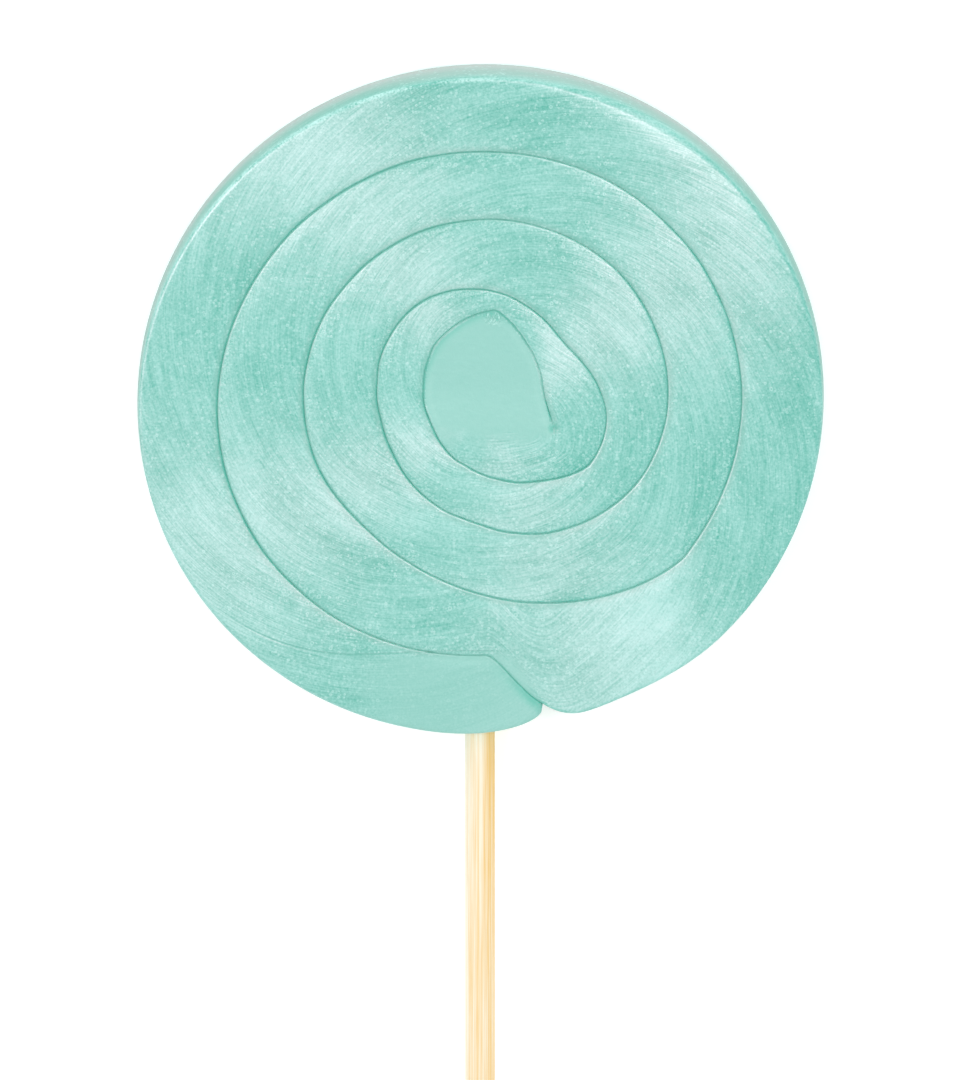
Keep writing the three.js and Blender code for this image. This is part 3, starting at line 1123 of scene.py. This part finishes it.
def rod_profile(radius, foot, top):
    """Heights and radii along the rod, from the middle of its foot to the middle of its top."""
    foot_end = [(foot, 0.0)]
    for step in range(SANDED_STEPS + 1):
        turn = math.radians(90 * step / SANDED_STEPS)
        inward = SANDED_EDGE * (1 - math.sin(turn))
        foot_end.append((foot + SANDED_EDGE * (1 - math.cos(turn)), radius - inward))
    return foot_end + [(foot + top - height, r) for height, r in reversed(foot_end)]


def turned_rod(name, profile, axis_height):
    """A profile turned round an axis along Y, as a closed and smooth mesh."""
    points, faces = [], []
    for height, radius in profile:
        for side in range(ROD_SIDES):
            turn = 2 * math.pi * side / ROD_SIDES
            points.append((radius * math.sin(turn), height, axis_height + radius * math.cos(turn)))
    for ring in range(0, ROD_SIDES * (len(profile) - 1), ROD_SIDES):
        for side in range(ROD_SIDES):
            beside = (side + 1) % ROD_SIDES
            near, far = ring + side, ring + beside
            faces.append((near, far, far + ROD_SIDES, near + ROD_SIDES))
    mesh = bpy.data.meshes.new(name)
    mesh.from_pydata(points, [], faces)
    work = bmesh.new()
    work.from_mesh(mesh)
    bmesh.ops.remove_doubles(work, verts=work.verts, dist=1e-7)
    bmesh.ops.recalc_face_normals(work, faces=work.faces)
    work.to_mesh(mesh)
    work.free()
    mesh.shade_smooth()
    rod = bpy.data.objects.new(name, mesh)
    bpy.context.scene.collection.objects.link(rod)
    print(f"{name}: {1000 * (profile[-1][0] - profile[0][0]):.0f} mm long")
    return rod


stick_profile = rod_profile(STICK_RADIUS * MM, stick_low[1], stick_high[1])
stick = turned_rod("grained_stick", stick_profile, (stick_low[2] + stick_high[2]) / 2)
stick.data.materials.append(straight_grained_wood())
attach(stick, "root")
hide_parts("wooden_stick")

# %% [markdown]
# ## The table
#
# The lollipop lies on a matt white table, which is wide enough to fill every view. A bright table
# also throws soft light back onto the rim. It glows very slightly, so that it stays white where the
# room's light alone would leave it grey.

# %% Lay the table
TABLE_SIZE = 6.0
TABLE_GAP = 0.1 * MM  # keeps the table's face from coinciding with the candy's back
TABLE_WHITE = (0.92, 0.92, 0.92, 1)

bpy.ops.mesh.primitive_plane_add(size=TABLE_SIZE, location=(0, 0, cad_box[0][2] - TABLE_GAP))
floor = bpy.context.object
floor.name = "pale_table"
table_finish = new_finish(
    "pale_table",
    base_color=TABLE_WHITE,
    roughness=0.8,
    specular_ior_level=0.1,
    emission_color=(1, 1, 1, 1),
    emission_strength=0.3,
)
floor.data.materials.append(table_finish[0])

# %% [markdown]
# ## The light
#
# A white room gives most of the light. Two softboxes stand high at the left and the right, and the
# sheen of the pulled sugar answers each with a pair of bright fans. In a studio the sugar would
# answer a softbox more strongly than plain paint does, so each has a partner that only glossy
# surfaces see. A low strip at the right draws the light on the rim's corner, and a low box beyond
# the disc lights the wall opposite the stick. Every light faces the middle of the disc.

# %% Light the room
scene = bpy.context.scene
world = bpy.data.worlds.new("soft_room")
scene.world = world
world.use_nodes = True
world.node_tree.nodes["Background"].inputs["Color"].default_value = (1, 1, 1, 1)
world.node_tree.nodes["Background"].inputs["Strength"].default_value = 0.8


def softbox(name, azimuth, elevation, radiance, distance=0.9, size=0.3):
    """A square area light, with its direction in degrees and its size in metres."""
    light = bpy.data.lights.new(name, "AREA")
    light.shape = "SQUARE"
    light.size = size
    light.energy = radiance * math.pi * size * size
    box = bpy.data.objects.new(name, light)
    az, el = math.radians(azimuth), math.radians(elevation)
    box.location = (
        distance * math.cos(el) * math.cos(az),
        distance * math.cos(el) * math.sin(az),
        distance * math.sin(el),
    )
    box.rotation_euler = (math.pi / 2 - el, 0, az + math.pi / 2)
    scene.collection.objects.link(box)
    print(f"{name}: {light.energy:.2f} W")
    return box


softbox("left_softbox", 163, 63, radiance=4.0)
softbox("right_softbox", 37, 68, radiance=4.0)
glossy_only = [
    softbox("left_sheen", 167, 63, radiance=16.0, distance=0.89),
    softbox("right_sheen", 37, 68, radiance=16.3, distance=0.89),
    softbox("right_strip", 45, 25, radiance=6.0),
]
for light in glossy_only:
    light.visible_diffuse = False
softbox("rim_softbox", 90, 14, radiance=2.0, size=0.4).visible_glossy = False

# %% [markdown]
# ## The camera
#
# The camera stands far off, so that the disc is drawn almost without perspective. It is tilted a
# little from straight above, away from the stick, so that the wall opposite the stick shows as a
# narrow band and the stick runs straight down the picture.

# %% Set the camera
TILT = math.radians(15)
DISTANCE = 6.0
FRAME_HEIGHT = 0.181
AIM_RIGHT, AIM_DOWN = 1.68 * MM, 22.37 * MM  # from the middle of the face to the view's middle

lens = bpy.data.cameras.new("camera")
lens.lens = lens.sensor_width * DISTANCE / FRAME_HEIGHT
camera = bpy.data.objects.new("camera", lens)
camera.location = (
    AIM_RIGHT,
    -AIM_DOWN * math.cos(TILT) + DISTANCE * math.sin(TILT),
    THICKNESS * MM + AIM_DOWN * math.sin(TILT) + DISTANCE * math.cos(TILT),
)
camera.rotation_euler = (-TILT, 0, 0)
scene.collection.objects.link(camera)
scene.camera = camera
scene.view_settings.view_transform = "Standard"
print(f"the view is {FRAME_HEIGHT / MM:.0f} mm high")
